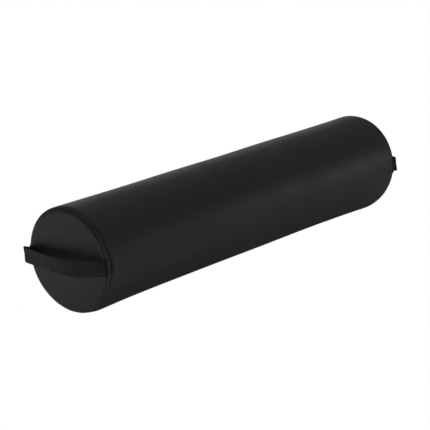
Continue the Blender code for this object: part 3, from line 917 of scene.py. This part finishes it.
def set_inputs(tree, node, inputs):
    """Fills in a node's inputs, or links them to other nodes' outputs. i0 is the first input."""
    for key, value in inputs.items():
        numbered = key[0] == "i" and key[1:].isdigit()
        socket = node.inputs[int(key[1:]) if numbered else key.replace("_", " ")]
        if isinstance(value, bpy.types.NodeSocket):
            tree.links.new(value, socket)
        else:
            socket.default_value = value


def add_node(tree, kind, settings=None, **inputs):
    """A shader node with these settings and inputs."""
    made = tree.nodes.new("ShaderNode" + kind)
    for key, value in (settings or {}).items():
        setattr(made, key, value)
    set_inputs(tree, made, inputs)
    return made


def mapped(tree, value, low, high, start, end):
    """Maps a value from low..high to start..end."""
    made = add_node(tree, "MapRange", Value=value, From_Min=low, From_Max=high, To_Min=start, To_Max=end)
    return made.outputs["Result"]


def maths(tree, operation, *values):
    """One step of arithmetic."""
    inputs = {f"i{number}": value for number, value in enumerate(values)}
    return add_node(tree, "Math", {"operation": operation}, **inputs).outputs[0]


def mixed(tree, factor, one, two):
    """Two colours mixed."""
    one, two = (c if isinstance(c, bpy.types.NodeSocket) else (*c, 1) for c in (one, two))
    return add_node(tree, "Mix", {"data_type": "RGBA"}, Factor=factor, i6=one, i7=two).outputs[2]


def noise(tree, place, scale, detail, distortion=0.0):
    """A cloudy pattern from 0 to 1."""
    made = add_node(tree, "TexNoise", Vector=place, Scale=scale, Detail=detail, Distortion=distortion)
    return made.outputs[0]


def pointiness(tree):
    """How convex the mesh is at each point, about 0.5 where it is flat."""
    return tree.nodes.new("ShaderNodeNewGeometry").outputs["Pointiness"]


def new_material(name):
    """A material, its node tree and the place on its object, in metres."""
    made = bpy.data.materials.new(name)
    made.use_nodes = True
    place = made.node_tree.nodes.new("ShaderNodeTexCoord").outputs["Object"]
    return made, made.node_tree, place


def set_surface(tree, relief=None, **inputs):
    """Fills in the surface's inputs. Relief is a bump's (strength, distance, height)."""
    if relief:
        strength, distance, height = relief
        bump = add_node(tree, "Bump", Strength=strength, Distance=distance, Height=height)
        inputs["Normal"] = bump.outputs[0]
    set_inputs(tree, tree.nodes["Principled BSDF"], inputs)


def vinyl_material():
    """Black faux leather: a pebbled grain, slow changes in its gloss, and paler rubbed edges."""
    made, tree, place = new_material("faux_leather")
    drift = noise(tree, place, 420, 2).node.outputs["Color"]
    adding = {"operation": "MULTIPLY_ADD"}
    shifted = add_node(tree, "VectorMath", adding, i0=drift, i1=(0.0012,) * 3, i2=place).outputs[0]
    cells = add_node(tree, "TexVoronoi", {"feature": "DISTANCE_TO_EDGE"}, Vector=shifted, Scale=820)
    pebble = mapped(tree, cells.outputs["Distance"], 0.0, 0.28, 0.0, 1.0)
    fine = noise(tree, place, 2600, 3)
    broad = noise(tree, place, 14, 3)
    rubbed = maths(tree, "MULTIPLY", mapped(tree, pointiness(tree), 0.53, 0.62, 0.0, 0.6), broad)
    base = mixed(tree, pebble, (0.0055, 0.0055, 0.0058), (0.0085, 0.0085, 0.0088))
    set_surface(
        tree,
        relief=(0.55, 0.00006, maths(tree, "MULTIPLY_ADD", fine, 0.25, pebble)),
        Base_Color=mixed(tree, rubbed, base, (0.035, 0.034, 0.034)),
        Roughness=mapped(tree, broad, 0.3, 0.7, 0.44, 0.52),
        Sheen_Weight=0.04,
        Sheen_Roughness=0.4,
    )
    return made


def webbing_material():
    """Black polypropylene webbing: yarn by yarn, with a dull sheen, a painted highlight on its yarn crowns
    and painted shade between the yarns.
    """
    made, tree, _ = new_material("woven_webbing")
    flat = add_node(tree, "UVMap", {"uv_map": "weave"}).outputs[0]
    strands = add_node(tree, "Mapping", Vector=flat, Scale=(5200, 700, 1)).outputs[0]
    fibre = noise(tree, strands, 1.0, 3)
    # Painted light: the colour is paler where the mesh is convex, a painted highlight on the yarn crowns, and
    # darker where it is hollow, painted shade between the yarns.
    painted_crown_light = mapped(tree, pointiness(tree), 0.47, 0.56, 0.0, 1.0)
    dark = mixed(tree, fibre, (0.0035, 0.0035, 0.0037), (0.008, 0.008, 0.0083))
    set_surface(
        tree,
        relief=(0.5, 0.00008, fibre),
        Base_Color=mixed(tree, painted_crown_light, dark, (0.016, 0.016, 0.0163)),
        Roughness=mapped(tree, noise(tree, flat, 90, 2), 0.3, 0.7, 0.52, 0.68),
        Sheen_Weight=0.03,
        Sheen_Roughness=0.5,
        Specular_IOR_Level=0.27,
    )
    return made


def thread_material():
    """Black bonded polyester thread with a visible twist."""
    made, tree, place = new_material("sewing_thread")
    slanted = {"bands_direction": "DIAGONAL"}
    twist = add_node(tree, "TexWave", slanted, Vector=place, Scale=900, Distortion=2).outputs[1]
    fuzz = noise(tree, place, 3000, 2)
    set_surface(
        tree,
        relief=(0.6, 0.00004, maths(tree, "ADD", twist, fuzz)),
        Base_Color=mixed(tree, twist, (0.003, 0.003, 0.0032), (0.008, 0.008, 0.0083)),
        Roughness=mapped(tree, fuzz, 0.3, 0.7, 0.4, 0.6),
        Sheen_Weight=0.06,
        Specular_IOR_Level=0.35,
    )
    return made


def tape_material():
    """The zip's woven tape."""
    made, tree, place = new_material("zip_tape_weave")
    lengthwise = {"bands_direction": "X"}
    rows = add_node(tree, "TexWave", lengthwise, Vector=place, Scale=420, Distortion=0.4).outputs[1]
    fuzz = noise(tree, place, 1800, 3)
    set_surface(
        tree,
        relief=(0.6, 0.00006, maths(tree, "ADD", rows, fuzz)),
        Base_Color=mixed(tree, rows, (0.007, 0.007, 0.0073), (0.017, 0.017, 0.0175)),
        Roughness=mapped(tree, fuzz, 0.3, 0.7, 0.75, 0.92),
        Sheen_Weight=0.2,
    )
    return made


def coil_material():
    """Glossy black nylon, scuffed grey where the slider rubs it."""
    made, tree, place = new_material("nylon_coil")
    scuffs = noise(tree, place, 900, 4)
    rubbed = mapped(tree, scuffs, 0.55, 0.75, 0.0, 0.7)
    set_surface(
        tree,
        relief=(0.3, 0.00002, scuffs),
        Base_Color=mixed(tree, rubbed, (0.010, 0.010, 0.0105), (0.05, 0.05, 0.05)),
        Roughness=mapped(tree, scuffs, 0.3, 0.7, 0.22, 0.45),
    )
    return made


def metal_material():
    """Black enamel on zinc, worn through to grey metal along its edges."""
    made, tree, place = new_material("enamelled_zinc")
    speckle = noise(tree, place, 1600, 4)
    edges = mapped(tree, pointiness(tree), 0.52, 0.62, 0.0, 1.0)
    bare = mapped(tree, maths(tree, "MULTIPLY", edges, speckle), 0.36, 0.55, 0.0, 0.8)
    set_surface(
        tree,
        relief=(0.25, 0.00003, speckle),
        Base_Color=mixed(tree, bare, (0.014, 0.014, 0.015), (0.22, 0.215, 0.21)),
        Metallic=mapped(tree, bare, 0, 1, 0.1, 0.95),
        Roughness=mapped(tree, speckle, 0.3, 0.7, 0.26, 0.42),
    )
    return made


def foam_material():
    """Cream open-cell foam."""
    made, tree, place = new_material("open_cell_foam")
    pores = add_node(tree, "TexVoronoi", Vector=place, Scale=700).outputs["Distance"]
    pale = mixed(tree, noise(tree, place, 20, 3), (0.62, 0.57, 0.44), (0.74, 0.70, 0.58))
    tone = mixed(tree, mapped(tree, pores, 0.0, 0.35, 0.55, 0.0), pale, (0.36, 0.32, 0.24))
    set_surface(tree, relief=(0.7, 0.0003, pores), Base_Color=tone, Roughness=0.95)
    return made


def wadding_material():
    """White polyester wadding: tangled fibres."""
    made, tree, place = new_material("polyester_wadding")
    strands = noise(tree, place, 260, 6, 3.0)
    set_surface(
        tree,
        relief=(0.9, 0.0008, strands),
        Base_Color=mixed(tree, strands, (0.70, 0.70, 0.69), (0.90, 0.90, 0.88)),
        Roughness=mapped(tree, strands, 0.3, 0.7, 0.85, 0.98),
        Sheen_Weight=0.3,
    )
    return made


# The studio

# Name, place, target, size, power in watts, and whether it lights the floor only
LAMPS = (
    ("overhead", (0.0, 0.0, 2.6), (0, 0, 0), (3.0, 3.0), 7, False),
    ("low_right", (1.7, -0.92, 0.11), (0.3, 0, 0.05), (1.0, 0.45), 1.75, False),
    ("left_floor", (-1.0, 0.4, 0.9), (-0.8, 0.3, 0), (0.9, 0.9), 5.8, True),
    ("front_floor", (0.9, -1.0, 1.0), (0.7, -0.15, 0), (1.0, 0.5), 1.6, True),
    ("front", (-1.65, -0.69, 0.30), (-0.345, -0.06, 0.1), (0.35, 0.5), 1.6, False),
    ("back_left", (-1.4, 0.95, 0.50), (-0.345, 0, 0.1), (0.8, 0.4), 0.3, False),
    ("rear", (1.2, 1.6, 0.5), (0, 0, 0.1), (1.6, 0.5), 1.5, False),
)
ROOM_STRENGTH = 0.21
FLOOR_HALF = 30


def camera():
    """Looks at the bolster from front left, a little above."""
    azimuth = math.radians(-49.08)
    elevation = math.radians(14.75)
    roll = math.radians(-3)
    distance = 2.622
    shift = (-0.0175, -0.0140)
    level = Vector((math.cos(azimuth), math.sin(azimuth), 0))
    back = Vector((math.sin(azimuth), -math.cos(azimuth), 0)) * math.cos(elevation)
    back.z = math.sin(elevation)
    upright = back.cross(level)
    right = math.cos(roll) * level + math.sin(roll) * upright
    up = math.cos(roll) * upright - math.sin(roll) * level
    data = bpy.data.cameras.new("camera")
    data.lens = 143.4
    data.sensor_width = 36
    made = linked("camera", data)
    place = Vector((0, 0, AXIS_HEIGHT)) + back * distance + right * shift[0] + up * shift[1]
    turn = Matrix((right, up, back)).transposed().to_4x4()
    made.matrix_world = Matrix.Translation(place) @ turn
    bpy.context.scene.camera = made


def seen_white(tree, white_kind, shader, socket):
    """Shows plain white to the camera, and the given shader to every other ray."""
    white = add_node(tree, white_kind, Color=(1, 1, 1, 1), Strength=1.0)
    eye = tree.nodes.new("ShaderNodeLightPath").outputs["Is Camera Ray"]
    chosen = add_node(tree, "MixShader", Fac=eye, i1=shader, i2=white.outputs[0])
    tree.links.new(chosen.outputs[0], socket)


def room():
    """A dim even room."""
    world = bpy.data.worlds.new("room")
    bpy.context.scene.world = world
    world.use_nodes = True
    tree = world.node_tree
    light = tree.nodes["Background"]
    set_inputs(tree, light, {"Color": (1, 1, 1, 1), "Strength": ROOM_STRENGTH})
    seen_white(tree, "Background", light.outputs[0], tree.nodes["World Output"].inputs["Surface"])


def pale_floor():
    """A wide floor, shown plain white."""
    data = bpy.data.meshes.new("floor")
    corners = [(x * FLOOR_HALF, y * FLOOR_HALF, 0) for x, y in ((-1, -1), (1, -1), (1, 1), (-1, 1))]
    data.from_pydata(corners, [], [(0, 1, 2, 3)])
    made = linked("floor", data)
    material, tree, _ = new_material("pale_floor")
    set_surface(tree, Base_Color=(0.85, 0.85, 0.85, 1), Roughness=0.9)
    data.materials.append(material)
    surface = tree.nodes["Principled BSDF"].outputs[0]
    seen_white(tree, "Emission", surface, tree.nodes["Material Output"].inputs["Surface"])
    return made


def area_light(name, place, target, size, power):
    """A soft rectangular lamp."""
    data = bpy.data.lights.new(name, "AREA")
    data.shape = "RECTANGLE"
    data.size, data.size_y = size
    data.energy = power
    made = linked(name, data)
    made.location = place
    made.rotation_euler = (Vector(place) - Vector(target)).to_track_quat("Z", "Y").to_euler()
    return made


def studio():
    """A dim room, a pale floor and soft lights."""
    bpy.context.scene.view_settings.view_transform = "Standard"
    room()
    only_floor = bpy.data.collections.new("only_floor")
    only_floor.objects.link(pale_floor())
    for name, place, target, size, power, for_floor in LAMPS:
        lamp = area_light(name, place, target, size, power)
        if for_floor:
            lamp.light_linking.receiver_collection = only_floor


def build():
    """Builds every piece of the bolster."""
    vinyl = vinyl_material()
    webbing = webbing_material()
    thread = thread_material()
    tape = tape_material()
    coil = coil_material()
    metal = metal_material()
    barrel_panel(vinyl)
    for side_name, side in ENDS:
        end_panel(side_name, side, vinyl)
        topstitching(side_name, side, thread)
        handle(side_name, side, webbing)
        bar_tack(f"bar_tack_{side_name}_front", side, math.pi, thread)
        bar_tack(f"bar_tack_{side_name}_back", side, 0.0, thread)
    for name, direction in (("upper", 1), ("lower", -1)):
        zip_tape(name, direction, tape)
        zip_coil(name, direction, coil)
        zip_stitching(name, direction, thread)
        bevelled("zip_top_stop_" + name, 0.0003, metal)
    bevelled("zip_bottom_stop", 0.0003, metal)
    bevelled("zip_slider", 0.00025, metal)
    bevelled("zip_pull", 0.0003, metal)
    foam_core(foam_material())
    fibre_wrap(wadding_material())


SWELL = simulated_swell()
build()
camera()
studio()
